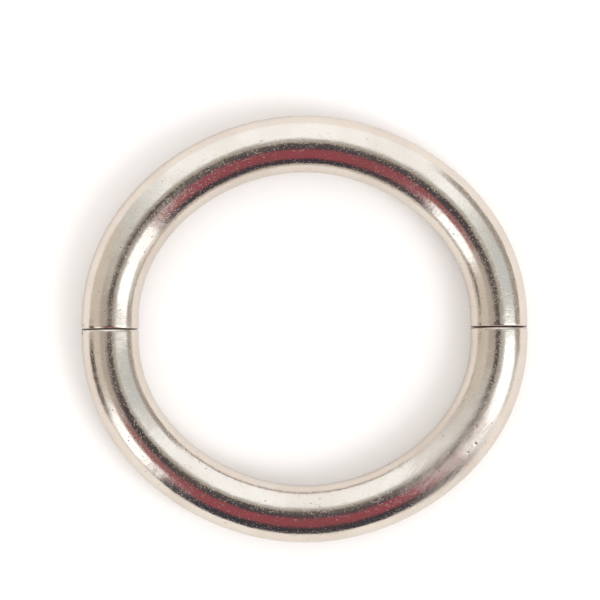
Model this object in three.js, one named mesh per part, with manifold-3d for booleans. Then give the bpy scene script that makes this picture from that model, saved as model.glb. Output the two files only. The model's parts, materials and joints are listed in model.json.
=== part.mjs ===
// A hollow silver bangle in two bent tubes. They turn on a knuckle hinge let into the outer edge of one seam, and
// snap shut at the other seam, where a tongue slides into a box and two spring-loaded balls drop into its dimples.
//
// Millimetres, +Z up. The bangle lies flat: the origin is the middle of the wrist opening, at the tubes' mid-plane,
// +X points from the hinge to the catch, and the seams lie in the plane y = 0.

import * as THREE from "three";
import { mergeVertices } from "three/addons/utils/BufferGeometryUtils.js";
import Module from "manifold-3d";

const wasm = await Module();
wasm.setup();

// ---- Driving dimensions ----

// The oval that the tubes' centrelines follow
const HALF_WIDTH = 34; // from the middle to each seam
const HALF_HEIGHT = 32.35; // from the seam plane to each crown
const LEAD = 1.5; // straight tube next to each seam
const SIDE_PULL = 0.574; // Bezier handle at the seam end, as a share of the height that it spans
const CROWN_PULL = 0.5; // Bezier handle at the crown, as a share of the half width

// The tubes
const TUBE_R = 5;
const WALL = 0.7;
const BORE_R = TUBE_R - WALL;

// The seams
const SEAM_GAP = 0.2;
const SOLDER_GAP = 0.02; // between pieces that are soldered or set face to face

// The end caps: a disc as wide as the tube, and a plug that goes into it
const DISC_T = 0.8; // more than the knuckles reach along the tube, so that their seat is all in the caps
const DISC_EDGE = 0.2; // chamfer of the edge at the seam
const PLUG_R = 4.15;
const HINGE_PLUG = 2.0;
const CATCH_PLUG = 1.0;
const VENT_R = 0.45;

// The hinge
const PIN_X = -(HALF_WIDTH + 4.2); // the hinge line is as far out as the knuckles allow, so that the faces part
const KNUCKLE_R = 0.8;
const KNUCKLE_BORE_R = 0.38;
const KNUCKLE_COUNT = 5; // the odd ones belong to the lower half, the even ones to the upper half
const KNUCKLE_LENGTH = 0.84;
const KNUCKLE_PITCH = 0.88;
const RUNNING_GAP = 0.06; // between a knuckle and the half that turns past it
const PIN_R = 0.35;
const PIN_HOLE_R = 0.4;

// The tongue, bent round the hinge line so that it slides straight into its slot
const TONGUE_HALF_WIDTH = 2.2;
const TONGUE_HALF_T = 0.95;
const TONGUE_REACH = 5.4; // from the seam plane to its tip
const TONGUE_TIP = 0.6; // chamfer of the tip
const TONGUE_HEAD_HALF_WIDTH = 2.9;
const TONGUE_HEAD_T = 0.8;
const SLOT_CLEARANCE = 0.12;

// The ball catches, one above the tongue and one below it
const BALL_R = 0.65;
const BALL_BITE = 0.06; // how far each ball stands into the tongue's way
const BALL_Y = 3.6; // from the seam plane
const DIMPLE_R = 0.71;
const BARREL_R = 1.0;
const BARREL_BORE_R = 0.73;
const BARREL_MOUTH_R = 0.61; // smaller than the ball, so that the ball stays in
const BARREL_LENGTH = 2.8;
const BARREL_LIP = 0.15;
const BARREL_END = 0.3;
const SPRING_R = 0.48;
const SPRING_WIRE_R = 0.09;
const SPRING_TURNS = 4;

// The box behind the slot
const BOX_HALF_WIDTH = 2.45;
const BOX_HALF_HEIGHT = 1.1;
const BOX_WALL = 0.38;
const BOX_END = 6.4; // its far end, from the seam plane

// How finely round things are cut into flats
const TUBE_SIDES = 32;
const TUBE_STEPS = 36;
const BORE_SIDES = 16;
const BARREL_SIDES = 24;
const WIRE_SIDES = 16;
const VENT_SIDES = 12;
const BALL_SIDES = 16;
const BALL_RINGS = 12;
const SPRING_SIDES = 6;
const SPRING_STEPS_PER_TURN = 12;
const TONGUE_STEPS = 4;

// ---- Places worked out from them ----

const FACE_Y = SEAM_GAP / 2;
const DISC_BACK_Y = FACE_Y + DISC_T;
const CATCH_BACK_Y = DISC_BACK_Y + CATCH_PLUG;
const TONGUE_RADIUS = HALF_WIDTH - PIN_X; // of its middle line, about the hinge line
const KNUCKLES_END = (KNUCKLE_COUNT * KNUCKLE_PITCH) / 2;
const BALL_X = PIN_X + Math.sqrt(TONGUE_RADIUS ** 2 - BALL_Y ** 2);
const BALL_Z = TONGUE_HALF_T - BALL_BITE + BALL_R;
const BALL_HEIGHT = BALL_Z - BOX_HALF_HEIGHT; // above the barrel's mouth

// ---- Materials ----

const silver = new THREE.MeshStandardMaterial({ color: 0xe9e2d8, metalness: 1, roughness: 0.14 });
const satinSilver = new THREE.MeshStandardMaterial({ color: 0xd8d0c4, metalness: 1, roughness: 0.34 });
const steel = new THREE.MeshStandardMaterial({ color: 0xa9abae, metalness: 1, roughness: 0.22 });

// ---- Helpers ----

function toSolid(geometry) {
  const bare = geometry.clone();
  bare.deleteAttribute("normal");
  bare.deleteAttribute("uv");
  const merged = mergeVertices(bare, 1e-4);
  return new wasm.Manifold(
    new wasm.Mesh({
      numProp: 3,
      vertProperties: merged.getAttribute("position").array,
      triVerts: new Uint32Array(merged.getIndex().array),
    }),
  );
}

function toGeometry(solid) {
  const mesh = solid.getMesh();
  const geometry = new THREE.BufferGeometry();
  geometry.setAttribute("position", new THREE.BufferAttribute(mesh.vertProperties, 3));
  geometry.setIndex(new THREE.BufferAttribute(mesh.triVerts, 1));
  geometry.computeVertexNormals();
  return geometry;
}

// A regular polygon with a flat facing each axis, so that a tube of it has a flat to lie on.
function polygon(radius, sides) {
  return Array.from({ length: sides }, (_, i) => {
    const angle = ((i + 0.5) * 2 * Math.PI) / sides;
    return new THREE.Vector2(radius * Math.cos(angle), radius * Math.sin(angle));
  });
}

function ringShape(outer, outerSides, inner, innerSides) {
  const shape = new THREE.Shape(polygon(outer, outerSides));
  shape.holes.push(new THREE.Path(polygon(inner, innerSides).reverse()));
  return shape;
}

// Turned about Y. The profile runs from the axis, outwards and up, and back to the axis.
function turned(profile, sides) {
  const points = profile.map(([r, y]) => new THREE.Vector2(r, y));
  return new THREE.LatheGeometry(points, sides, Math.PI / sides);
}

// A cylinder along Z from z = low to z = high, centred on x, y.
function rod(radius, sides, x, y, low, high) {
  const shape = new THREE.Shape(polygon(radius, sides));
  const geometry = new THREE.ExtrudeGeometry(shape, { depth: high - low, bevelEnabled: false });
  return geometry.translate(x, y, low);
}

function box(lowX, highX, lowY, highY, lowZ, highZ) {
  const geometry = new THREE.BoxGeometry(highX - lowX, highY - lowY, highZ - lowZ);
  return geometry.translate((lowX + highX) / 2, (lowY + highY) / 2, (lowZ + highZ) / 2);
}

function named(name, geometry, material) {
  const mesh = new THREE.Mesh(geometry, material);
  mesh.name = name;
  return mesh;
}

// ---- One half: it stands above the seam plane y = 0, and the lower half is the same thing turned over about X ----

// The half oval from the hinge seam, over the crown, to the catch seam.
function centreline() {
  const pull = LEAD + SIDE_PULL * (HALF_HEIGHT - LEAD);
  const crown = new THREE.Vector3(0, HALF_HEIGHT, 0);
  const path = new THREE.CurvePath();
  const at = (x, y) => new THREE.Vector3(x, y, 0);
  path.add(new THREE.LineCurve3(at(-HALF_WIDTH, 0), at(-HALF_WIDTH, LEAD)));
  path.add(
    new THREE.CubicBezierCurve3(
      at(-HALF_WIDTH, LEAD),
      at(-HALF_WIDTH, pull),
      at(-HALF_WIDTH * CROWN_PULL, HALF_HEIGHT),
      crown,
    ),
  );
  path.add(
    new THREE.CubicBezierCurve3(
      crown,
      at(HALF_WIDTH * CROWN_PULL, HALF_HEIGHT),
      at(HALF_WIDTH, pull),
      at(HALF_WIDTH, LEAD),
    ),
  );
  path.add(new THREE.LineCurve3(at(HALF_WIDTH, LEAD), at(HALF_WIDTH, 0)));
  return path;
}

// The room that the knuckles need at the hinge line, open to the outside: a snug seat for a half's own knuckles, and
// running room for the others. The pin goes in from below, which is the side of pinSide in the half's own frame.
function hingeRoom(ownsEven, pinSide) {
  const pinEnds = [pinSide * KNUCKLES_END, pinSide * TUBE_R].sort((a, b) => a - b);
  let room = toSolid(rod(PIN_HOLE_R, BARREL_SIDES, PIN_X, 0, ...pinEnds));
  for (let i = 0; i < KNUCKLE_COUNT; i++) {
    const own = (i % 2 === 1) === ownsEven;
    const reach = KNUCKLE_R + (own ? SOLDER_GAP : RUNNING_GAP);
    const low = -KNUCKLES_END + i * KNUCKLE_PITCH;
    const high = low + KNUCKLE_PITCH;
    const mouth = box(PIN_X - TUBE_R, PIN_X, -reach, reach, low, high);
    room = room.add(toSolid(rod(reach, BARREL_SIDES, PIN_X, 0, low, high))).add(toSolid(mouth));
  }
  return room;
}

function halfTube() {
  const swept = new THREE.ExtrudeGeometry(ringShape(TUBE_R, TUBE_SIDES, BORE_R, BORE_SIDES), {
    steps: TUBE_STEPS,
    extrudePath: centreline(),
  });
  const reach = HALF_WIDTH + 2 * TUBE_R;
  const belowCaps = box(-reach, reach, -reach, DISC_BACK_Y + SOLDER_GAP, -reach, reach);
  return toGeometry(toSolid(swept).subtract(toSolid(belowCaps)));
}

function capBlank(x, plugLength) {
  const profile = [
    [0, FACE_Y],
    [TUBE_R - DISC_EDGE, FACE_Y],
    [TUBE_R, FACE_Y + DISC_EDGE],
    [TUBE_R, DISC_BACK_Y],
    [PLUG_R, DISC_BACK_Y],
    [PLUG_R, DISC_BACK_Y + plugLength],
    [0, DISC_BACK_Y + plugLength],
  ];
  return toSolid(turned(profile, TUBE_SIDES).translate(x, 0, 0));
}

// The vent that lets the hot air out of the tube while the cap is soldered.
function ventHole(x, z) {
  const profile = [
    [0, -TUBE_R],
    [VENT_R, -TUBE_R],
    [VENT_R, TUBE_R],
    [0, TUBE_R],
  ];
  return toSolid(turned(profile, VENT_SIDES).translate(x, 0, z));
}

function hingeCap(room) {
  return toGeometry(capBlank(-HALF_WIDTH, HINGE_PLUG).subtract(room).subtract(ventHole(-HALF_WIDTH, 0)));
}

function catchCap(slot) {
  const ventZ = (TONGUE_HALF_T + PLUG_R) / 2;
  return toGeometry(capBlank(HALF_WIDTH, CATCH_PLUG).subtract(slot).subtract(ventHole(HALF_WIDTH, ventZ)));
}

// ---- The hinge ----

// What the knuckles and the pin are filed flush with: the straight tube that crosses the hinge seam.
function filedOutline() {
  const profile = [
    [0, -LEAD],
    [TUBE_R, -LEAD],
    [TUBE_R, LEAD],
    [0, LEAD],
  ];
  return toSolid(turned(profile, TUBE_SIDES).translate(-HALF_WIDTH, 0, 0));
}

// A barrel with a foot that squares it up to its own half, on the given side of the seam.
function knuckle(index, side) {
  const middle = -KNUCKLES_END + (index + 0.5) * KNUCKLE_PITCH;
  const low = middle - KNUCKLE_LENGTH / 2;
  const high = middle + KNUCKLE_LENGTH / 2;
  const [footLow, footHigh] = [0, side * KNUCKLE_R].sort((a, b) => a - b);
  const foot = box(PIN_X - TUBE_R, PIN_X, footLow, footHigh, low, high);
  const bore = rod(KNUCKLE_BORE_R, WIRE_SIDES, PIN_X, 0, low, high);
  const solid = toSolid(rod(KNUCKLE_R, BARREL_SIDES, PIN_X, 0, low, high)).add(toSolid(foot));
  return toGeometry(solid.subtract(toSolid(bore)).intersect(filedOutline()));
}

function hingePin() {
  const wire = rod(PIN_R, WIRE_SIDES, PIN_X, 0, -TUBE_R, KNUCKLES_END - SOLDER_GAP);
  return toGeometry(toSolid(wire).intersect(filedOutline()));
}

// ---- The catch ----

// An arc-shaped plate about the hinge line, from y = low to y = high, grown by the given gap on its sides.
function arcPlate(low, high, gap) {
  const inner = TONGUE_RADIUS - TONGUE_HALF_WIDTH - gap;
  const outer = TONGUE_RADIUS + TONGUE_HALF_WIDTH + gap;
  const shape = new THREE.Shape();
  shape.absarc(PIN_X, 0, outer, Math.asin(low / outer), Math.asin(high / outer), false);
  shape.absarc(PIN_X, 0, inner, Math.asin(high / inner), Math.asin(low / inner), true);
  const depth = 2 * (TONGUE_HALF_T + gap);
  const plate = new THREE.ExtrudeGeometry(shape, { depth, bevelEnabled: false, curveSegments: TONGUE_STEPS });
  return toSolid(plate.translate(0, 0, -depth / 2));
}

// Everything that the tongue's tip and the chamfers beside it leave to the tongue.
function tipCutter() {
  const tipX = PIN_X + Math.sqrt(TONGUE_RADIUS ** 2 - TONGUE_REACH ** 2);
  const tipHalf = TONGUE_HALF_WIDTH - TONGUE_TIP;
  const spread = 2 * TONGUE_REACH;
  const outline = new THREE.Shape([
    new THREE.Vector2(tipX - tipHalf, -TONGUE_REACH),
    new THREE.Vector2(tipX + tipHalf, -TONGUE_REACH),
    new THREE.Vector2(tipX + tipHalf + spread, -TONGUE_REACH + spread),
    new THREE.Vector2(tipX - tipHalf - spread, -TONGUE_REACH + spread),
  ]);
  const cutter = new THREE.ExtrudeGeometry(outline, { depth: 2 * TUBE_R, bevelEnabled: false });
  return toSolid(cutter.translate(0, 0, -TUBE_R));
}

// The stem with its chamfered tip below the seam, and a wider head behind the upper cap.
function tongue() {
  const headLow = CATCH_BACK_Y + SOLDER_GAP;
  const headHigh = headLow + TONGUE_HEAD_T;
  const headLeft = HALF_WIDTH - TONGUE_HEAD_HALF_WIDTH;
  const headRight = HALF_WIDTH + TONGUE_HEAD_HALF_WIDTH;
  const head = box(headLeft, headRight, headLow, headHigh, -TONGUE_HALF_T, TONGUE_HALF_T);
  const stem = arcPlate(-TONGUE_REACH - TONGUE_TIP, headLow + TONGUE_HEAD_T / 2, 0).intersect(tipCutter());
  let solid = stem.add(toSolid(head));
  for (const side of [-1, 1]) {
    const dimple = new THREE.SphereGeometry(DIMPLE_R, BALL_SIDES, BALL_RINGS);
    solid = solid.subtract(toSolid(dimple.translate(BALL_X, -BALL_Y, side * BALL_Z)));
  }
  return toGeometry(solid);
}

// Folded sheet, open towards the slot, with a hole above and below for the barrels.
function catchBox() {
  const front = CATCH_BACK_Y + SOLDER_GAP;
  const outerWidth = BOX_HALF_WIDTH + BOX_WALL;
  const outerHeight = BOX_HALF_HEIGHT + BOX_WALL;
  const outside = box(BALL_X - outerWidth, BALL_X + outerWidth, front, BOX_END, -outerHeight, outerHeight);
  const inside = box(
    BALL_X - BOX_HALF_WIDTH,
    BALL_X + BOX_HALF_WIDTH,
    front - BOX_WALL,
    BOX_END - BOX_WALL,
    -BOX_HALF_HEIGHT,
    BOX_HALF_HEIGHT,
  );
  const barrelHole = rod(BARREL_R + SOLDER_GAP, BARREL_SIDES, BALL_X, BALL_Y, -TUBE_R, TUBE_R);
  return toGeometry(toSolid(outside).subtract(toSolid(inside)).subtract(toSolid(barrelHole)));
}

// A ball catch stands on its mouth, at the origin of its own frame, with its axis along +Y.
function barrel() {
  const profile = [
    [0, BARREL_LENGTH - BARREL_END],
    [BARREL_BORE_R, BARREL_LENGTH - BARREL_END],
    [BARREL_BORE_R, BARREL_LIP],
    [BARREL_MOUTH_R, BARREL_LIP],
    [BARREL_MOUTH_R, 0],
    [BARREL_R, 0],
    [BARREL_R, BARREL_LENGTH],
    [0, BARREL_LENGTH],
  ];
  return turned(profile, BARREL_SIDES);
}

class Coil extends THREE.Curve {
  constructor(radius, low, high, turns) {
    super();
    Object.assign(this, { radius, low, high, turns });
  }

  getPoint(t, target = new THREE.Vector3()) {
    const angle = t * this.turns * 2 * Math.PI;
    const height = THREE.MathUtils.lerp(this.low, this.high, t);
    return target.set(this.radius * Math.cos(angle), height, this.radius * Math.sin(angle));
  }
}

// It pushes the ball towards the mouth, and stands between the ball and the barrel's closed end.
function spring() {
  const touch = BALL_R + SPRING_WIRE_R + SOLDER_GAP;
  const low = BALL_HEIGHT + Math.sqrt(touch ** 2 - SPRING_R ** 2);
  const high = BARREL_LENGTH - BARREL_END - SPRING_WIRE_R - SOLDER_GAP;
  return new THREE.ExtrudeGeometry(new THREE.Shape(polygon(SPRING_WIRE_R, SPRING_SIDES)), {
    steps: SPRING_TURNS * SPRING_STEPS_PER_TURN,
    extrudePath: new Coil(SPRING_R, low, high, SPRING_TURNS),
  });
}

function ballCatch(place) {
  const group = new THREE.Group();
  const ball = named(`detent_ball_${place}`, new THREE.SphereGeometry(BALL_R, BALL_SIDES, BALL_RINGS), steel);
  ball.position.y = BALL_HEIGHT;
  group.add(
    named(`detent_barrel_${place}`, barrel(), satinSilver),
    named(`detent_spring_${place}`, spring(), steel),
    ball,
  );
  return group;
}

// ---- Assembly ----

const upper = new THREE.Group();
const snugSlot = arcPlate(-TUBE_R, CATCH_BACK_Y + TUBE_R, SOLDER_GAP);
upper.add(
  named("upper_tube", halfTube(), silver),
  named("upper_hinge_cap", hingeCap(hingeRoom(true, -1)), silver),
  named("upper_catch_cap", catchCap(snugSlot), silver),
  named("upper_knuckle_1", knuckle(1, 1), satinSilver),
  named("upper_knuckle_2", knuckle(3, 1), satinSilver),
  named("tongue", tongue(), satinSilver),
);

const lower = new THREE.Group();
lower.rotation.x = Math.PI;
const slidingSlot = arcPlate(-TUBE_R, CATCH_BACK_Y + TUBE_R, SLOT_CLEARANCE);
lower.add(
  named("lower_tube", halfTube(), silver),
  named("lower_hinge_cap", hingeCap(hingeRoom(false, 1)), silver),
  named("lower_catch_cap", catchCap(slidingSlot), silver),
  named("catch_box", catchBox(), satinSilver),
);
for (const [place, side] of [
  ["top", -1],
  ["bottom", 1],
]) {
  const catchUnit = ballCatch(place);
  catchUnit.position.set(BALL_X, BALL_Y, side * BOX_HALF_HEIGHT);
  catchUnit.rotation.x = (side * Math.PI) / 2;
  lower.add(catchUnit);
}

const bangle = new THREE.Group();
bangle.add(upper, lower, named("hinge_pin", hingePin(), steel));
for (const [order, index] of [0, 2, 4].entries())
  bangle.add(named(`lower_knuckle_${order + 1}`, knuckle(index, -1), satinSilver));

export default bangle;
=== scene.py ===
import json
import math

import bmesh
import bpy
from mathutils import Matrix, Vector


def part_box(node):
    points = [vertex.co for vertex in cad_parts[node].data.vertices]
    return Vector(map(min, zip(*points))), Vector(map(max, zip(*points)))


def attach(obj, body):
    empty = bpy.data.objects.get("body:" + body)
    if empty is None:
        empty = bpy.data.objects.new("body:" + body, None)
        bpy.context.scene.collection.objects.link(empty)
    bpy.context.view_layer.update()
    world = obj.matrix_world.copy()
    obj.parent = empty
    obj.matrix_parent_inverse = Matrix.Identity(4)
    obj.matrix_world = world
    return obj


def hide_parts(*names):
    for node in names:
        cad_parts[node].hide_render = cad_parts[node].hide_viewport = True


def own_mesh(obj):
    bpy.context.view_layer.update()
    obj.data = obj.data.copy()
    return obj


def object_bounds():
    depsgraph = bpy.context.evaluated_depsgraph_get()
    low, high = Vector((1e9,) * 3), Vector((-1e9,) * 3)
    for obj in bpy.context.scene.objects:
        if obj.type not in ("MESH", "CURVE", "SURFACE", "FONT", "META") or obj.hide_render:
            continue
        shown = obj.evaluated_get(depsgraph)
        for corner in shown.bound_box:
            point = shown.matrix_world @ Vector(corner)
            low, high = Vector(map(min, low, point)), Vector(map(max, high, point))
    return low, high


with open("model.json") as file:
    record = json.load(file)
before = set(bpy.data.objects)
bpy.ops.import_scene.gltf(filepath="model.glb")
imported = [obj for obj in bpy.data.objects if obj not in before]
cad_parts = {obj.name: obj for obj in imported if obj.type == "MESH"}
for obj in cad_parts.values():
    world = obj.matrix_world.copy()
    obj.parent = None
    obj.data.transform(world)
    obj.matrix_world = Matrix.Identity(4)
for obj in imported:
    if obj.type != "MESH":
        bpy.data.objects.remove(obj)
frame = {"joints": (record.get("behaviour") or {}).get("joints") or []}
cad_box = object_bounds()

# A hollow silver bangle in two bent tubes, hinged at one seam and snapping shut at the other.
# Metres, in the frame's own axes: +X from the hinge to the catch, +Z up, the seams in the plane y = 0.

MM = 0.001

# ---- Sizes that the frame gives ----

tube_low, tube_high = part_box("lower_tube")
cap_low, cap_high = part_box("upper_catch_cap")
hinge_cap_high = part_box("upper_hinge_cap")[1]
tongue_low, tongue_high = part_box("tongue")
knuckle_low, knuckle_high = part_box("lower_knuckle_2")
box_low, box_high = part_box("catch_box")
HINGE = next(joint for joint in frame["joints"] if joint["type"] == "hinge")

TUBE_R = (tube_high.z - tube_low.z) / 2
SEAM_X = tube_high.x - TUBE_R  # the middles of the seams are at x = -SEAM_X and x = SEAM_X
CROWN_Y = -tube_low.y - TUBE_R
FACE_Y = cap_low.y  # the seam faces are at y = -FACE_Y and y = FACE_Y
CAP_BACK_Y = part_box("upper_tube")[0].y
PIN_X = HINGE["pos_m"][0]
KNUCKLE_R = (knuckle_high.y - knuckle_low.y) / 2
TONGUE_R = SEAM_X - PIN_X  # of the tongue's middle line, about the hinge line
TONGUE_T = tongue_high.z - tongue_low.z

# ---- Sizes of its own ----

# The bent tubes
LEAD = 1.5 * MM  # straight tube next to each seam
SIDE_PULL = 0.574  # Bezier handle at the seam end, as a share of the height that it spans
CROWN_PULL = 0.5  # Bezier handle at the crown, as a share of the half width
WALL = 0.7 * MM

# The end caps
PLUG_R = 4.15 * MM
PLUG_CHAMFER = 0.1 * MM
ROLL = 0.5 * MM  # how far from the seam polishing has rolled the edge over
ROLL_DEPTH = 0.13 * MM
VENT_R = 0.45 * MM
SOLDER_GAP = 0.02 * MM

# The hinge
RUNNING_GAP = 0.06 * MM
PIN_R = 0.35 * MM
PIN_EDGE = 0.03 * MM
PIN_HOLE_R = 0.4 * MM
KNUCKLE_BORE_R = 0.38 * MM
KNUCKLE_EDGE = 0.025 * MM

# The catch
TONGUE_W = 4.4 * MM
TONGUE_EDGE = 0.06 * MM
TIP_CHAMFER = 0.5 * MM
DIMPLE_R = 0.71 * MM
SLOT_CLEARANCE = 0.12 * MM
SLOT_EDGE = 0.05 * MM
BOX_WALL = 0.38 * MM
BOX_EDGE = 0.08 * MM
BARREL_HOLE_R = 1.02 * MM
BARREL_BORE_R = 0.73 * MM
BARREL_MOUTH_R = 0.61 * MM
BARREL_LIP = 0.15 * MM
BARREL_FLOOR = 0.3 * MM
BARREL_EDGE = 0.04 * MM
SPRING_WIRE_R = 0.09 * MM
SPRING_TURNS = 4

# Wear: places on the lower half as x and y in millimetres
SCUFFED_PLACE = (27.0, -23.0)
SCUFFED_CORE = 4 * MM
SCUFFED_RIM = 17 * MM
HINGE_GRIME = 0.10 * MM  # how far the sulphide reaches from the seam face
CATCH_GRIME = 0.24 * MM
DINGS = (  # x, y, radius and depth in millimetres
    (29.6, -20.4, 0.45, 0.06),
    (31.2, -20.3, 0.4, 0.06),
    (28.2, -21.9, 0.35, 0.03),
    (29.7, -17.4, 0.4, 0.03),
    (28.0, -12.2, 0.4, 0.05),
)

# ---- Colours, as sRGB hex ----

BRIGHT_SILVER = "ece7e0"
CLOUDED_SILVER = "e4ddd4"
PIT_DIRT = "6e6258"
SULPHIDE = "52290c"
PICKLED_SILVER = "e6dfd4"
PICKLED_STAIN = "b5a896"
BRIGHT_STEEL = "b9babd"
WORN_STEEL = "9c9a98"
TABLE = "f8f8f8"
# Painted shade: the table as the metal mirrors it, darker and pinker than the table looks
TABLE_PAINTED_SHADE_MIRRORED = "e2deda"
ROOM_LIGHT = "fffaf7"
ROOM_MIRRORED = "d6d6d2"
WHITE = "ffffff"

# ---- Settings that come up again and again ----

FACING = 0.9  # how much of an axis a face's normal holds when the face looks along it
SHARP = math.radians(40)  # an edge that turns by more than this is eased
SMOOTH = {"interpolation_type": "SMOOTHSTEP"}
MIX_SHARE, MIX_FROM, MIX_TO, MIX_RESULT = 0, 6, 7, 2  # the Mix node's sockets for colours


# ---- Workshop ----


def only(obj):
    """Selects obj and nothing else."""
    bpy.ops.object.select_all(action="DESELECT")
    obj.select_set(True)
    bpy.context.view_layer.objects.active = obj


def placed(name):
    """Names what was just added, and puts its place into its mesh."""
    obj = bpy.context.object
    only(obj)
    obj.name = obj.data.name = name
    bpy.ops.object.transform_apply(location=True, rotation=True, scale=True)
    return obj


def bar(name, radius, low, high, sides=64):
    """Round bar from the middle of one end to the middle of the other."""
    low, high = Vector(low), Vector(high)
    along = high - low
    bpy.ops.object.select_all(action="DESELECT")
    bpy.ops.mesh.primitive_cylinder_add(
        vertices=sides,
        radius=radius,
        depth=along.length,
        location=(low + high) / 2,
        rotation=Vector((0, 0, 1)).rotation_difference(along).to_euler(),
    )
    return placed(name)


def block(name, one, other):
    """Square bar between two opposite corners."""
    size = [abs(a - b) for a, b in zip(one, other)]
    bpy.ops.object.select_all(action="DESELECT")
    bpy.ops.mesh.primitive_cube_add(size=1, location=(Vector(one) + Vector(other)) / 2, scale=size)
    return placed(name)


def worked(obj, kind, **settings):
    """Gives obj a modifier and applies it."""
    only(obj)
    modifier = obj.modifiers.new(kind.lower(), kind)
    for name, value in settings.items():
        setattr(modifier, name, value)
    bpy.ops.object.modifier_apply(modifier=modifier.name)


def cut(obj, *tools, operation="DIFFERENCE"):
    """Cuts obj with each tool, which is then thrown away."""
    for tool in tools:
        worked(obj, "BOOLEAN", object=tool, operation=operation, solver="EXACT")
        bpy.data.meshes.remove(tool.data)


def eased(obj, width, segments=2):
    """Takes the sharpness off obj's edges."""
    worked(obj, "BEVEL", width=width, segments=segments, limit_method="ANGLE", angle_limit=SHARP)


def pick_faces(test):
    """In edit mode, selects the faces whose middle and normal pass the test, and nothing else."""
    bpy.ops.mesh.select_mode(type="FACE")
    bpy.ops.mesh.select_all(action="DESELECT")
    mesh = bmesh.from_edit_mesh(bpy.context.object.data)
    for face in mesh.faces:
        face.select_set(test(face.calc_center_median(), face.normal))
    bmesh.update_edit_mesh(bpy.context.object.data)


def extrude(x, y, z):
    """In edit mode, draws the picked faces out by x, y and z."""
    bpy.ops.mesh.extrude_region_move(TRANSFORM_OT_translate={"value": (x, y, z)})


def turned_over(obj, name):
    """A copy of obj turned over about the X axis, as the lower half is to the upper one."""
    only(obj)
    bpy.ops.object.duplicate()
    bpy.context.object.rotation_euler.x = math.pi
    return placed(name)


def shaded(obj, degrees=30):
    """Shades obj smooth, except across edges that turn by more than some degrees."""
    only(obj)
    bpy.ops.object.shade_smooth_by_angle(angle=math.radians(degrees))


# ---- The bent tubes ----


def bent_tube(name):
    """Half the oval: tube bent along a curve, and sawn off square where the end caps sit."""
    pull = LEAD + SIDE_PULL * (CROWN_Y - LEAD)
    near = LEAD / 3
    stations = [  # each a point with its two handles
        ((-SEAM_X, 0), (-SEAM_X, -near), (-SEAM_X, near)),
        ((-SEAM_X, LEAD), (-SEAM_X, LEAD - near), (-SEAM_X, pull)),
        ((0, CROWN_Y), (-SEAM_X * CROWN_PULL, CROWN_Y), (SEAM_X * CROWN_PULL, CROWN_Y)),
        ((SEAM_X, LEAD), (SEAM_X, pull), (SEAM_X, LEAD - near)),
        ((SEAM_X, 0), (SEAM_X, near), (SEAM_X, -near)),
    ]
    bpy.ops.object.select_all(action="DESELECT")
    bpy.ops.curve.primitive_bezier_curve_add()
    path = bpy.context.object.data
    points = path.splines[0].bezier_points
    points.add(len(stations) - len(points))
    for point, (middle, before, after) in zip(points, stations):
        point.handle_left_type = point.handle_right_type = "FREE"
        point.co = (*middle, 0)
        point.handle_left = (*before, 0)
        point.handle_right = (*after, 0)
    path.twist_mode = "Z_UP"
    path.resolution_u = 40
    path.bevel_depth = TUBE_R
    path.bevel_resolution = 16
    bpy.ops.object.convert(target="MESH")
    tube = placed(name)
    bpy.ops.object.mode_set(mode="EDIT")
    bpy.ops.mesh.select_all(action="SELECT")
    bpy.ops.mesh.remove_doubles(threshold=0.001 * MM)
    bpy.ops.mesh.bisect(plane_co=(0, CAP_BACK_Y, 0), plane_no=(0, 1, 0), clear_inner=True)
    bpy.ops.mesh.select_all(action="SELECT")
    bpy.ops.mesh.normals_make_consistent(inside=False)
    bpy.ops.object.mode_set(mode="OBJECT")
    worked(tube, "SOLIDIFY", thickness=WALL, offset=-1)
    shaded(tube)
    return tube


# ---- The end caps ----


def cap_blank(name, x, plug_end):
    """A disc whose edge is rolled over at the seam, and a plug behind it that goes into the tube."""
    cap = bar(name, TUBE_R, (x, FACE_Y + ROLL, 0), (x, CAP_BACK_Y, 0), sides=160)
    steps = 10
    bpy.ops.object.mode_set(mode="EDIT")
    pick_faces(lambda middle, normal: normal.y < -FACING)
    radius, depth = TUBE_R, 0
    for step in range(1, steps + 1):
        turn = math.pi / 2 * step / steps
        new_radius = TUBE_R - ROLL_DEPTH * (1 - math.cos(turn))
        new_depth = ROLL * math.sin(turn)
        extrude(0, depth - new_depth, 0)
        shrink = new_radius / radius
        bpy.ops.transform.resize(value=(shrink, 1, shrink), center_override=(x, 0, 0))
        radius, depth = new_radius, new_depth
    pick_faces(lambda middle, normal: normal.y > FACING)
    bpy.ops.mesh.inset(thickness=TUBE_R - PLUG_R)
    extrude(0, plug_end - CAP_BACK_Y, 0)
    bpy.ops.mesh.bevel(offset=PLUG_CHAMFER, segments=2, affect="EDGES")
    bpy.ops.object.mode_set(mode="OBJECT")
    return cap


def vent(x, z):
    """Drill for the hole that lets the hot air out while the cap is soldered."""
    return bar("vent_drill", VENT_R, (x, -TUBE_R, z), (x, TUBE_R, z), sides=32)


def hinge_cap(name, own_knuckles, other_knuckles, pin_side):
    """Cap with the knuckles' seat filed across its outer edge, and a hole for the pin beyond it."""
    cap = cap_blank(name, -SEAM_X, hinge_cap_high.y)
    cut(cap, vent(-SEAM_X, 0))
    for nodes, gap in ((own_knuckles, SOLDER_GAP), (other_knuckles, RUNNING_GAP)):
        for node in nodes:
            low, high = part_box(node)
            reach = KNUCKLE_R + gap
            bottom, top = low.z - SOLDER_GAP, high.z + SOLDER_GAP
            cut(cap, bar("seat_file", reach, (PIN_X, 0, bottom), (PIN_X, 0, top), sides=48))
            cut(cap, block("mouth_file", (PIN_X - TUBE_R, -reach, bottom), (PIN_X, reach, top)))
    cut(cap, bar("pin_drill", PIN_HOLE_R, (PIN_X, 0, 0), (PIN_X, 0, pin_side * TUBE_R), sides=32))
    shaded(cap)
    return cap


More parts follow.
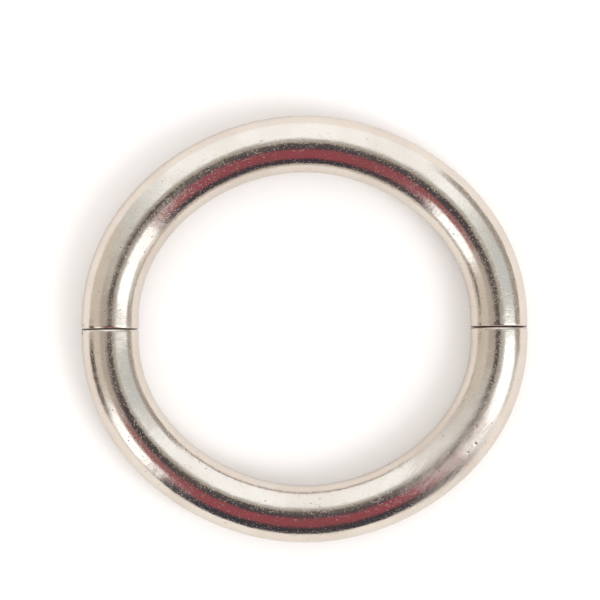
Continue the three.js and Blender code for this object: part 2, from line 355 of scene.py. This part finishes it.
def catch_cap(name, clearance):
    """Cap with the tongue's slot through it, whose edges alone are eased."""
    cap = cap_blank(name, SEAM_X, cap_high.y)
    between_slot_and_edge = (TONGUE_T / 2 + PLUG_R) / 2
    cut(cap, vent(SEAM_X, between_slot_and_edge))
    cut(cap, bent_bar("slot_saw", -TUBE_R, TUBE_R, clearance))
    reach_x = TONGUE_W / 2 + 2 * clearance
    reach_z = TONGUE_T / 2 + 2 * clearance
    slot = cap.vertex_groups.new(name="slot")
    for vertex in cap.data.vertices:
        if abs(vertex.co.x - SEAM_X) < reach_x and abs(vertex.co.z) < reach_z:
            slot.add([vertex.index], 1, "REPLACE")
    worked(cap, "BEVEL", width=SLOT_EDGE, segments=2, limit_method="VGROUP", vertex_group=slot.name)
    shaded(cap)
    return cap


# ---- The hinge ----


def filed_flush(obj):
    """Files obj flush with the tube that crosses the hinge seam."""
    outline = bar("outline", TUBE_R, (-SEAM_X, -LEAD, 0), (-SEAM_X, LEAD, 0), sides=128)
    cut(obj, outline, operation="INTERSECT")


def knuckle(name, node, side):
    """A barrel with a foot that squares it up to its own half, on the given side of the seam."""
    low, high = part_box(node)
    barrel = bar(name, KNUCKLE_R, (PIN_X, 0, low.z), (PIN_X, 0, high.z))
    foot = block("foot", (PIN_X - TUBE_R, 0, low.z), (PIN_X, side * KNUCKLE_R, high.z))
    cut(barrel, foot, operation="UNION")
    cut(barrel, bar("reamer", KNUCKLE_BORE_R, (PIN_X, 0, -TUBE_R), (PIN_X, 0, TUBE_R), sides=48))
    filed_flush(barrel)
    eased(barrel, KNUCKLE_EDGE)
    shaded(barrel)
    return barrel


def pin():
    """Wire through the knuckles, from the underside of the tube."""
    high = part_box("hinge_pin")[1]
    wire = bar("riveted_hinge_pin", PIN_R, (PIN_X, 0, -TUBE_R), (PIN_X, 0, high.z), sides=48)
    filed_flush(wire)
    eased(wire, PIN_EDGE)
    shaded(wire)
    return wire


# ---- The catch ----


def bent_bar(name, low, high, grow=0):
    """Flat bar bent round the hinge line, from y = low to y = high, and grown on its four sides."""
    start, end = math.asin(low / TONGUE_R), math.asin(high / TONGUE_R)
    bpy.ops.object.select_all(action="DESELECT")
    bpy.ops.mesh.primitive_plane_add(size=1, location=(TONGUE_R, 0, 0), rotation=(math.pi / 2, 0, 0))
    bpy.context.object.scale = (TONGUE_W + 2 * grow, TONGUE_T + 2 * grow, 1)
    stock = placed(name)
    stock.rotation_euler.z = start
    bpy.ops.object.transform_apply(rotation=True)
    stock.location.x = PIN_X
    bpy.ops.object.transform_apply(location=True)
    bpy.ops.object.mode_set(mode="EDIT")
    bpy.ops.mesh.select_all(action="SELECT")
    bpy.ops.mesh.spin(steps=12, angle=end - start, center=(PIN_X, 0, 0), axis=(0, 0, -1))
    bpy.ops.mesh.select_all(action="SELECT")
    bpy.ops.mesh.normals_make_consistent(inside=False)
    bpy.ops.object.mode_set(mode="OBJECT")
    return stock


def ball_centre(side):
    """Of the ball above (side 1) or below (side -1) the tongue."""
    low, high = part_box("detent_ball_top" if side > 0 else "detent_ball_bottom")
    return (low + high) / 2


def tongue():
    """Bent bar with a chamfered tip, a wider head behind the upper cap, and a dimple for each ball."""
    tip = tongue_low.y * TONGUE_R / (TONGUE_R + TONGUE_W / 2)  # which puts the outer corner at tongue_low.y
    blade = bent_bar("dimpled_tongue", tip, (cap_high.y + tongue_high.y) / 2)
    bpy.ops.object.mode_set(mode="EDIT")
    pick_faces(lambda middle, normal: normal.y < -FACING)
    bpy.ops.mesh.bevel(offset=TIP_CHAMFER, segments=4, affect="EDGES")
    bpy.ops.object.mode_set(mode="OBJECT")
    head_low = (tongue_low.x, cap_high.y + SOLDER_GAP, tongue_low.z)
    cut(blade, block("head", head_low, tongue_high), operation="UNION")
    for side in (-1, 1):
        place = ball_centre(side)
        bpy.ops.mesh.primitive_uv_sphere_add(segments=48, ring_count=24, radius=DIMPLE_R, location=place)
        cut(blade, placed("dimple_punch"))
    eased(blade, TONGUE_EDGE)
    shaded(blade)
    return blade


def catch_box():
    """Folded sheet, open towards the slot, with a hole above and below for the barrels."""
    box = block("folded_catch_box", box_low, box_high)
    bpy.ops.object.mode_set(mode="EDIT")
    pick_faces(lambda middle, normal: normal.y > FACING)
    bpy.ops.mesh.inset(thickness=BOX_WALL)
    extrude(0, box_low.y + BOX_WALL - box_high.y, 0)
    bpy.ops.object.mode_set(mode="OBJECT")
    x, y = ball_centre(1).xy
    cut(box, bar("barrel_drill", BARREL_HOLE_R, (x, y, -TUBE_R), (x, y, TUBE_R)))
    eased(box, BOX_EDGE, segments=3)
    shaded(box)
    return box


def barrel(name, node, side):
    """Closed tube with a turned-in lip at its mouth, which is towards the tongue."""
    low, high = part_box(node)
    x, y = ((low + high) / 2).xy
    radius = (high.x - low.x) / 2
    mouth, end = (low.z, high.z) if side > 0 else (high.z, low.z)
    widening = BARREL_BORE_R / BARREL_MOUTH_R
    tube = bar(name, radius, (x, y, low.z), (x, y, high.z))
    bpy.ops.object.mode_set(mode="EDIT")
    pick_faces(lambda middle, normal: normal.z * side < -FACING)
    bpy.ops.mesh.inset(thickness=radius - BARREL_MOUTH_R)
    extrude(0, 0, side * BARREL_LIP)
    extrude(0, 0, 0)
    bpy.ops.transform.resize(value=(widening, widening, 1), center_override=(x, y, mouth))
    extrude(0, 0, end - mouth - side * (BARREL_LIP + BARREL_FLOOR))
    bpy.ops.object.mode_set(mode="OBJECT")
    eased(tube, BARREL_EDGE)
    shaded(tube)
    return tube


def spring(name, node):
    """Round wire wound into an open coil."""
    low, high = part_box(node)
    middle = (low + high) / 2
    coil_r = (high.x - low.x) / 2 - SPRING_WIRE_R
    pitch = (high.z - low.z - 2 * SPRING_WIRE_R) / SPRING_TURNS
    bpy.ops.object.select_all(action="DESELECT")
    bpy.ops.mesh.primitive_circle_add(
        vertices=12,
        radius=SPRING_WIRE_R,
        location=(coil_r, 0, 0),
        rotation=(math.pi / 2, 0, 0),
    )
    wire = placed(name)
    wire.location = (middle.x, middle.y, low.z + SPRING_WIRE_R)
    worked(wire, "SCREW", axis="Z", steps=32, render_steps=32, screw_offset=pitch, iterations=SPRING_TURNS)
    wire = placed(name)
    bpy.ops.object.mode_set(mode="EDIT")
    bpy.ops.mesh.select_all(action="SELECT")
    bpy.ops.mesh.fill_holes(sides=0)
    bpy.ops.mesh.normals_make_consistent(inside=False)
    bpy.ops.object.mode_set(mode="OBJECT")
    shaded(wire, degrees=60)
    return wire


def ball(name, side):
    """A block rounded into a ball."""
    low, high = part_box("detent_ball_top" if side > 0 else "detent_ball_bottom")
    radius = (high.z - low.z) / 2
    bpy.ops.object.select_all(action="DESELECT")
    bpy.ops.mesh.primitive_cube_add(size=2 * radius, location=ball_centre(side))
    made = bpy.context.object
    worked(made, "SUBSURF", levels=4, render_levels=4)
    worked(made, "CAST", cast_type="SPHERE", factor=1, radius=radius, size=radius, use_radius_as_size=False)
    made = placed(name)
    shaded(made, degrees=60)
    return made


# ---- Materials ----


def linear(code):
    """A colour given as sRGB hex, such as "c0c0c0", as the shader wants it."""
    shares = [int(code[i : i + 2], 16) / 255 for i in (0, 2, 4)]
    return (*[s / 12.92 if s <= 0.04045 else ((s + 0.055) / 1.055) ** 2.4 for s in shares], 1)


def add_node(tree, kind, feeds=(), out=0, **settings):
    """Adds a node with its settings and links, and gives one of its outputs.

    feeds holds what its sockets get, in their order or by name: each a value, or an output to link from.
    """
    made = tree.nodes.new("ShaderNode" + kind)
    for name, value in settings.items():
        setattr(made, name, value)
    for socket, feed in feeds.items() if isinstance(feeds, dict) else enumerate(feeds):
        if isinstance(feed, bpy.types.NodeSocket):
            tree.links.new(feed, made.inputs[socket])
        else:
            made.inputs[socket].default_value = feed
    return made.outputs[out] if made.outputs else None


def new_material(name):
    """An empty material, and its node tree."""
    material = bpy.data.materials.new(name)
    material.use_nodes = True
    material.node_tree.nodes.clear()
    return material, material.node_tree


def layered(tree, layers):
    """The sum of some patterns, each with how much of it counts."""
    height = 0
    for pattern, amount in layers:
        height = add_node(tree, "Math", (pattern, amount, height), operation="MULTIPLY_ADD")
    return height


def scratches(tree, place, turn, tilt, length, width):
    """Thin scratches that all run one way: 1 in a scratch, 0 between them."""
    cell = 0.15  # half a scratch, as a share of the cell that it lies in
    laid = {
        "Vector": place,
        "Rotation": (0, math.radians(tilt), math.radians(turn)),
        "Scale": (length / 2 / cell, width / 2 / cell, width / 2 / cell),
    }
    laid = add_node(tree, "Mapping", laid, vector_type="TEXTURE")
    middles = add_node(tree, "TexVoronoi", {"Vector": laid, "Scale": 1})
    return add_node(tree, "MapRange", (middles, cell, cell / 2, 0, 1), **SMOOTH)


def specks(tree, place, spacing, size):
    """Round specks: 1 in a speck, 0 between them."""
    middles = add_node(tree, "TexVoronoi", {"Vector": place, "Scale": 1 / spacing})
    feeds = (middles, size / spacing, size / spacing / 2, 0, 1)
    return add_node(tree, "MapRange", feeds, **SMOOTH)


def spot(tree, place, middle, rim, core):
    """A round spot about a place: 1 within core of it, and fading to 0 at rim."""
    away = add_node(tree, "VectorMath", (place, middle), "Value", operation="DISTANCE")
    return add_node(tree, "MapRange", (away, rim, core, 0, 1), **SMOOTH)


def finish(tree, colour, metallic, roughness, height):
    """The shader. The height is in millimetres."""
    bump = add_node(tree, "Bump", {"Height": height, "Strength": 1, "Distance": MM})
    feeds = {"Base Color": colour, "Metallic": metallic, "Roughness": roughness, "Normal": bump}
    shader = add_node(tree, "BsdfPrincipled", feeds)
    add_node(tree, "OutputMaterial", (shader,))


def make_polished_silver(scuffed_place, dings):
    """Sterling silver, buffed on a wheel and then worn for years.

    The eye gets a mirror that is a little warm and a little hazy. The buffed surface sways, so what it
    mirrors runs in slightly wavy lines with ragged edges. Wear has left hairlines in every direction, some
    pits, one scuffed patch with a few dings, and brown-black sulphide in the seams where no cloth reaches.
    """
    material, tree = new_material("sterling silver, buffed and worn")
    place = add_node(tree, "TexCoord", out="Object")

    # Uneven buffing: hazier patches a fingertip wide, the sway of the bent wall, a ripple and a fine grain.
    clouds = add_node(tree, "TexNoise", {"Vector": place, "Scale": 1 / (9 * MM), "Detail": 2})
    sway = add_node(tree, "TexNoise", {"Vector": place, "Scale": 1 / (6 * MM), "Detail": 1})
    ripple = add_node(tree, "TexNoise", {"Vector": place, "Scale": 1 / (1.3 * MM), "Detail": 2})
    grain = add_node(tree, "TexNoise", {"Vector": place, "Scale": 1 / (0.35 * MM), "Detail": 2})

    # Hairlines: direction and tilt in degrees, length and width in millimetres. Real ones are a few
    # hundredths of a millimetre wide. They are drawn 0.1 to 0.13 mm wide, to show at all.
    hairlines = layered(
        tree,
        [
            (scratches(tree, place, turn, tilt, length * MM, width * MM), 1)
            for turn, tilt, length, width in (
                (12, 0, 1.6, 0.11),
                (40, 5, 0.8, 0.10),
                (62, -12, 1.0, 0.10),
                (88, 8, 0.8, 0.10),
                (118, 10, 1.4, 0.11),
                (140, -8, 0.7, 0.10),
                (161, 25, 2.6, 0.13),
                (-35, -20, 1.0, 0.13),
            )
        ],
    )
    pits = specks(tree, place, 1.7 * MM, 0.16 * MM)

    # The scuffed patch, rubbed dull in streaks 3 mm long, and its dings.
    scuffed = spot(tree, place, scuffed_place, SCUFFED_RIM, SCUFFED_CORE)
    rubbed = {"Vector": place, "Rotation": (0, 0, math.radians(50)), "Scale": (3 * MM, 0.3 * MM, 0.3 * MM)}
    rubbed = add_node(tree, "Mapping", rubbed, vector_type="TEXTURE")
    streaks = add_node(tree, "TexNoise", {"Vector": rubbed, "Scale": 1, "Detail": 3})
    streaks = add_node(tree, "MapRange", (streaks, 0.35, 0.65, 0.4, 1), **SMOOTH)
    dull = add_node(tree, "Math", (scuffed, streaks), operation="MULTIPLY")
    scuffs = add_node(tree, "Math", (grain, dull), operation="MULTIPLY")
    dents = [(spot(tree, place, ding, radius, 0), -depth / MM) for ding, radius, depth in dings]
    dents = layered(tree, dents)

    # Sulphide in the seams. The catch rubs less clean than the hinge, so its line is the wider one.
    x = add_node(tree, "SeparateXYZ", (place,), "X")
    y = add_node(tree, "SeparateXYZ", (place,), "Y")
    from_seam = add_node(tree, "Math", (y,), operation="ABSOLUTE")
    grime = (x, -SEAM_X, SEAM_X, FACE_Y + HINGE_GRIME, FACE_Y + CATCH_GRIME)
    grime = add_node(tree, "MapRange", grime)
    tarnish = add_node(tree, "MapRange", (from_seam, grime, FACE_Y, 0, 1), **SMOOTH)
    stains = add_node(tree, "TexNoise", {"Vector": place, "Scale": 1 / (2.5 * MM), "Detail": 3})
    stains = add_node(tree, "MapRange", (stains, 0.3, 0.65, 0.72, 1), **SMOOTH)
    tarnish = add_node(tree, "Math", (tarnish, stains), operation="MULTIPLY")
    bare = add_node(tree, "Math", (1, tarnish), operation="SUBTRACT")

    # File marks: across the seam faces, and round the tube near them, where the joints were filed flush.
    faced = {"Vector": place, "Rotation": (0, math.radians(20), 0), "Scale": (3 * MM, 3 * MM, 0.12 * MM)}
    faced = add_node(tree, "Mapping", faced, vector_type="TEXTURE")
    face_marks = add_node(tree, "TexNoise", {"Vector": faced, "Scale": 1, "Detail": 2})
    face_marks = add_node(tree, "Math", (face_marks, tarnish), operation="MULTIPLY")
    near_seam = add_node(tree, "MapRange", (from_seam, 5 * MM, 1 * MM, 0, 1), **SMOOTH)
    across = {"Vector": place, "Scale": (4 * MM, 0.22 * MM, 4 * MM)}
    across = add_node(tree, "Mapping", across, vector_type="TEXTURE")
    file_marks = add_node(tree, "TexNoise", {"Vector": across, "Scale": 1, "Detail": 3})
    file_marks = add_node(tree, "Math", (file_marks, near_seam), operation="MULTIPLY")

    # Heights in millimetres. What lies below the surface has a negative one.
    heights = [
        (sway, 0.10),
        (ripple, 0.022),
        (grain, 0.004),
        (scuffs, 0.02),
        (hairlines, -0.006),
        (pits, -0.02),
        (file_marks, 0.008),
        (face_marks, 0.01),
        (dents, 1),
    ]

    # Roughness, from 0.1 where it is buffed best. All the wear adds to it.
    buffed = add_node(tree, "MapRange", (clouds, 0.3, 0.7, 0.1, 0.17), **SMOOTH)
    hazes = [(buffed, 1), (grain, 0.06), (hairlines, 0.2), (pits, 0.3), (dull, 0.26), (tarnish, 0.6)]

    # Colour: warm white, a little greyer in the hazier patches, dirty in the pits and brown in the seams.
    cloudy = add_node(tree, "MapRange", (clouds, 0.35, 0.7, 0, 1), **SMOOTH)
    colour = {MIX_SHARE: cloudy, MIX_FROM: linear(BRIGHT_SILVER), MIX_TO: linear(CLOUDED_SILVER)}
    colour = add_node(tree, "Mix", colour, MIX_RESULT, data_type="RGBA")
    dirt = add_node(tree, "Math", (pits, 0.6), operation="MULTIPLY")
    colour = {MIX_SHARE: dirt, MIX_FROM: colour, MIX_TO: linear(PIT_DIRT)}
    colour = add_node(tree, "Mix", colour, MIX_RESULT, data_type="RGBA")
    colour = {MIX_SHARE: tarnish, MIX_FROM: colour, MIX_TO: linear(SULPHIDE)}
    colour = add_node(tree, "Mix", colour, MIX_RESULT, data_type="RGBA")
    finish(tree, colour, bare, layered(tree, hazes), layered(tree, heights))
    return material


def make_satin_silver():
    """Sterling silver, filed to fit and pickled, as it is left inside.

    The eye gets a soft greyish white with file marks that run one way, and a few darker stains.
    """
    material, tree = new_material("sterling silver, filed and pickled")
    place = add_node(tree, "TexCoord", out="Object")
    along = {"Vector": place, "Scale": (0.1 * MM, 1.5 * MM, 0.1 * MM)}
    along = add_node(tree, "Mapping", along, vector_type="TEXTURE")
    file_marks = add_node(tree, "TexNoise", {"Vector": along, "Scale": 1, "Detail": 3})
    stains = add_node(tree, "TexNoise", {"Vector": place, "Scale": 1 / (0.9 * MM), "Detail": 4})
    stains = add_node(tree, "MapRange", (stains, 0.5, 0.75, 0, 1), **SMOOTH)
    base = add_node(tree, "MapRange", (file_marks, 0.3, 0.7, 0.28, 0.4), **SMOOTH)
    colour = {MIX_SHARE: stains, MIX_FROM: linear(PICKLED_SILVER), MIX_TO: linear(PICKLED_STAIN)}
    colour = add_node(tree, "Mix", colour, MIX_RESULT, data_type="RGBA")
    haze = layered(tree, [(base, 1), (stains, 0.1)])
    height = layered(tree, [(file_marks, 0.008)])
    finish(tree, colour, 1, haze, height)
    return material


def make_spring_steel():
    """Spring steel, drawn bright: wire and balls.

    The eye gets a cool grey shine with fine draw lines and a spot of wear here and there.
    """
    material, tree = new_material("spring steel, bright drawn")
    place = add_node(tree, "TexCoord", out="Object")
    drawn = {"Vector": place, "Scale": (0.05 * MM, 0.05 * MM, 1 * MM)}
    drawn = add_node(tree, "Mapping", drawn, vector_type="TEXTURE")
    draw_lines = add_node(tree, "TexNoise", {"Vector": drawn, "Scale": 1, "Detail": 2})
    worn = add_node(tree, "TexNoise", {"Vector": place, "Scale": 1 / (0.4 * MM), "Detail": 3})
    worn = add_node(tree, "MapRange", (worn, 0.5, 0.7, 0, 1), **SMOOTH)
    base = add_node(tree, "MapRange", (draw_lines, 0.3, 0.7, 0.12, 0.2), **SMOOTH)
    colour = {MIX_SHARE: worn, MIX_FROM: linear(BRIGHT_STEEL), MIX_TO: linear(WORN_STEEL)}
    colour = add_node(tree, "Mix", colour, MIX_RESULT, data_type="RGBA")
    haze = layered(tree, [(base, 1), (worn, 0.12)])
    height = layered(tree, [(draw_lines, 0.002)])
    finish(tree, colour, 1, haze, height)
    return material


# ---- Assembly ----


def fit(obj, body, slot, material, *nodes):
    """Finishes a piece: its metal, the body that it moves with, and the frame's nodes that it replaces."""
    obj.data.materials.clear()
    obj.data.materials.append(material)
    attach(obj, body)
    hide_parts(*nodes)


def pressed(coil):
    """Gives the coil a mesh of its own."""
    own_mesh(coil)


def on_top(obj, x, y):
    """The point of obj's upper side at x, y in millimetres."""
    above = Vector((x * MM, y * MM, 2 * TUBE_R))
    return obj.ray_cast(above, Vector((0, 0, -1)))[1]


def make_pieces():
    """Every piece of the bangle, with its metal. Several lower pieces are the upper ones turned over."""
    own = [f"upper_knuckle_{i}" for i in (1, 2)]
    others = [f"lower_knuckle_{i}" for i in (1, 2, 3)]
    upper_shell = bent_tube("upper_bent_tube")
    lower_shell = turned_over(upper_shell, "lower_bent_tube")
    upper_hinge_end = hinge_cap("upper_hinge_end_cap", own, others, -1)
    unturned = hinge_cap("unturned_hinge_cap", others, own, 1)
    lower_hinge_end = turned_over(unturned, "lower_hinge_end_cap")
    bpy.data.meshes.remove(unturned.data)
    upper_catch_end = catch_cap("upper_catch_end_cap", SOLDER_GAP)
    unturned = catch_cap("unturned_catch_cap", SLOT_CLEARANCE)
    lower_catch_end = turned_over(unturned, "lower_catch_end_cap")
    bpy.data.meshes.remove(unturned.data)

    dings = [(on_top(lower_shell, x, y), radius * MM, depth * MM) for x, y, radius, depth in DINGS]
    polished_silver = make_polished_silver(on_top(lower_shell, *SCUFFED_PLACE), dings)
    satin_silver = make_satin_silver()
    spring_steel = make_spring_steel()

    fit(upper_shell, "upper_half", "polished_silver", polished_silver, "upper_tube")
    fit(lower_shell, "lower_half", "polished_silver", polished_silver, "lower_tube")
    fit(upper_hinge_end, "upper_half", "polished_silver", polished_silver, "upper_hinge_cap")
    fit(lower_hinge_end, "lower_half", "polished_silver", polished_silver, "lower_hinge_cap")
    fit(upper_catch_end, "upper_half", "polished_silver", polished_silver, "upper_catch_cap")
    fit(lower_catch_end, "lower_half", "polished_silver", polished_silver, "lower_catch_cap")
    for node in own:
        fit(knuckle(f"filed_{node}", node, 1), "upper_half", "polished_silver", polished_silver, node)
    for node in others:
        fit(knuckle(f"filed_{node}", node, -1), "lower_half", "polished_silver", polished_silver, node)
    fit(pin(), "lower_half", "spring_steel", spring_steel, "hinge_pin")
    fit(tongue(), "upper_half", "satin_silver", satin_silver, "tongue")
    fit(catch_box(), "lower_half", "satin_silver", satin_silver, "catch_box")
    for place, side in (("top", 1), ("bottom", -1)):
        node = f"detent_barrel_{place}"
        fit(barrel(f"lipped_barrel_{place}", node, side), "lower_half", "satin_silver", satin_silver, node)
        node = f"detent_spring_{place}"
        coil = spring(f"wound_spring_{place}", node)
        fit(coil, "lower_half", "spring_steel", spring_steel, node)
        pressed(coil)
        node = f"detent_ball_{place}"
        fit(ball(f"hardened_ball_{place}", side), f"ball_{place}", "spring_steel", spring_steel, node)


make_pieces()


# ---- Studio ----


def floor():
    """White card. The metal sees it a little darker and pinker than the table looks: painted shade on the
    table's reflection.
    """
    width = 6  # metres, so that its edges are out of sight
    bpy.ops.object.select_all(action="DESELECT")
    bpy.ops.mesh.primitive_plane_add(size=width, location=(0, 0, cad_box[0].z))
    plane = placed("white_table")
    material, tree = new_material("white card, matt")
    # Painted shade on the table's reflection: glossy rays get the darker, pinker colour
    mirrored = add_node(tree, "LightPath", out="Is Glossy Ray")
    colour = {MIX_SHARE: mirrored, MIX_FROM: linear(TABLE), MIX_TO: linear(TABLE_PAINTED_SHADE_MIRRORED)}
    colour = add_node(tree, "Mix", colour, MIX_RESULT, data_type="RGBA")
    shader = add_node(tree, "BsdfDiffuse", (colour,))
    add_node(tree, "OutputMaterial", (shader,))
    plane.data.materials.append(material)


def direction(azimuth, height):
    """Unit vector; azimuth from +X towards +Y, height above the horizon, both in degrees."""
    a, h = math.radians(azimuth), math.radians(height)
    return Vector((math.cos(a) * math.cos(h), math.sin(a) * math.cos(h), math.sin(h)))


def card(name, distance, azimuths, heights, code, strength, soft):
    """A card round the bangle, at a distance in metres and between two azimuths and two heights in degrees.

    Only the metal sees it. It fades over soft degrees at its sides, and at its bottom and top.
    """
    steps = 16
    bpy.ops.object.select_all(action="DESELECT")
    bpy.ops.mesh.primitive_grid_add(x_subdivisions=steps, y_subdivisions=steps, size=1)
    panel = placed(name)
    for vertex in panel.data.vertices:
        across, up = vertex.co.x + 0.5, vertex.co.y + 0.5
        azimuth = azimuths[0] + across * (azimuths[1] - azimuths[0])
        height = heights[0] + up * (heights[1] - heights[0])
        vertex.co = distance * direction(azimuth, height)
    material, tree = new_material(f"studio card, {name}")
    sheet = add_node(tree, "TexCoord", out="UV")
    shown = 1
    for side, (low, high), fade in (("X", azimuths, soft[0]), ("Y", heights, soft[1])):
        along = add_node(tree, "SeparateXYZ", (sheet,), side)
        for edge, inner in ((0, fade / (high - low)), (1, 1 - fade / (high - low))):
            eased_in = add_node(tree, "MapRange", (along, edge, inner, 0, 1), **SMOOTH)
            shown = add_node(tree, "Math", (eased_in, shown), operation="MULTIPLY")
    glow = add_node(tree, "Emission", (linear(code), strength))
    clear = add_node(tree, "BsdfTransparent")
    seen = add_node(tree, "MixShader", (shown, clear, glow))
    add_node(tree, "OutputMaterial", (seen,))
    panel.data.materials.append(material)
    panel.visible_camera = False
    panel.visible_diffuse = False
    panel.visible_shadow = False
    panel.visible_transmission = False


def lamp(name, azimuth, height, distance, size, watts):
    """A soft square lamp, which the metal doesn't mirror."""
    bpy.ops.object.light_add(type="AREA", location=distance * direction(azimuth, height))
    made = bpy.context.object
    made.name = name
    made.data.size = size
    made.data.energy = watts
    made.rotation_euler = direction(azimuth, height).to_track_quat("Z", "Y").to_euler()
    made.visible_glossy = False


def surroundings():
    """White to the camera, light grey to the metal, and a soft warm white light to the table."""
    world = bpy.data.worlds.new("room")
    bpy.context.scene.world = world
    world.use_nodes = True
    tree = world.node_tree
    tree.nodes.clear()
    table_strength = 1.09
    light = add_node(tree, "Background", (linear(ROOM_LIGHT), table_strength))
    walls = add_node(tree, "Background", (linear(ROOM_MIRRORED), 1))
    white = add_node(tree, "Background", (linear(WHITE), 1))
    to_metal = add_node(tree, "LightPath", out="Is Glossy Ray")
    to_camera = add_node(tree, "LightPath", out="Is Camera Ray")
    seen = add_node(tree, "MixShader", (to_metal, light, walls))
    seen = add_node(tree, "MixShader", (to_camera, seen, white))
    add_node(tree, "OutputWorld", (seen,))


def camera():
    """Almost straight above, leaning a little towards -Y."""
    lean = math.radians(2.3)
    roll = math.radians(-0.34)
    view_width = 104.94 * MM  # of what it takes in, at the bangle
    distance = 0.9
    target = Vector((-0.98 * MM, 5.02 * MM, 0))
    back = Vector((0, -math.sin(lean), math.cos(lean)))
    bpy.ops.object.camera_add(location=target + distance * back)
    made = bpy.context.object
    made.rotation_euler = (lean, 0, roll)
    made.data.lens = made.data.sensor_width * distance / view_width
    made.data.clip_start = 0.01
    bpy.context.scene.camera = made


floor()
surroundings()

# What the metal mirrors. The nearer cards are the ones that stand in front.
card("white wall", 1.4, (30, 142), (-16, 76), "ffffff", 1.1, (18, 12))
card("beige wall, left", 1.35, (142, 214), (-16, 50), "d8cec1", 1.0, (10, 10))
card("cool wall, right", 1.35, (-12, 36), (-16, 66), "ced1cf", 1.0, (8, 10))
card("skirting, right", 0.16, (-10, 56), (-14, 26), "a89e94", 1.0, (10, 12))
card("skirting, left", 0.16, (176, 208), (-14, 20), "5a4e48", 1.0, (8, 8))
card("shade, left", 1.3, (150, 208), (42, 78), "bcb1a5", 1.0, (12, 8))
card("ceiling", 1.2, (0, 180), (66, 114), "b4aca2", 1.0, (0.1, 12))
card("doorway", 1.15, (-38, -22), (-16, 34), "fff8f4", 1.1, (6, 8))
card("window, right", 1.1, (-38, 4.5), (16, 67), "ffffff", 1.6, (4, 4))
card("window, left", 1.1, (199, 230), (4, 47), "ffffff", 1.4, (4, 6))
card("red sleeve", 1.05, (200, 244), (45, 74), "a06c6a", 1.0, (8, 6))
card("red coat", 1.0, (222, 324), (0, 84), "984e56", 1.0, (9, 5))
card("dark trousers", 0.25, (224, 322), (-10, 34), "3e3c42", 1.0, (7, 9))
card("head", 0.8, (176, 330), (64, 90), "46434a", 1.0, (14, 9))
card("strap", 0.75, (130, 222), (74, 90), "4e4442", 1.0, (14, 6))
card("camera", 0.7, (0, 180), (83, 97), "463e3c", 1.0, (0.1, 3))
lamp("key", azimuth=-38, height=45, distance=2.0, size=1.0, watts=15)
camera()
bpy.context.scene.view_settings.view_transform = "Standard"
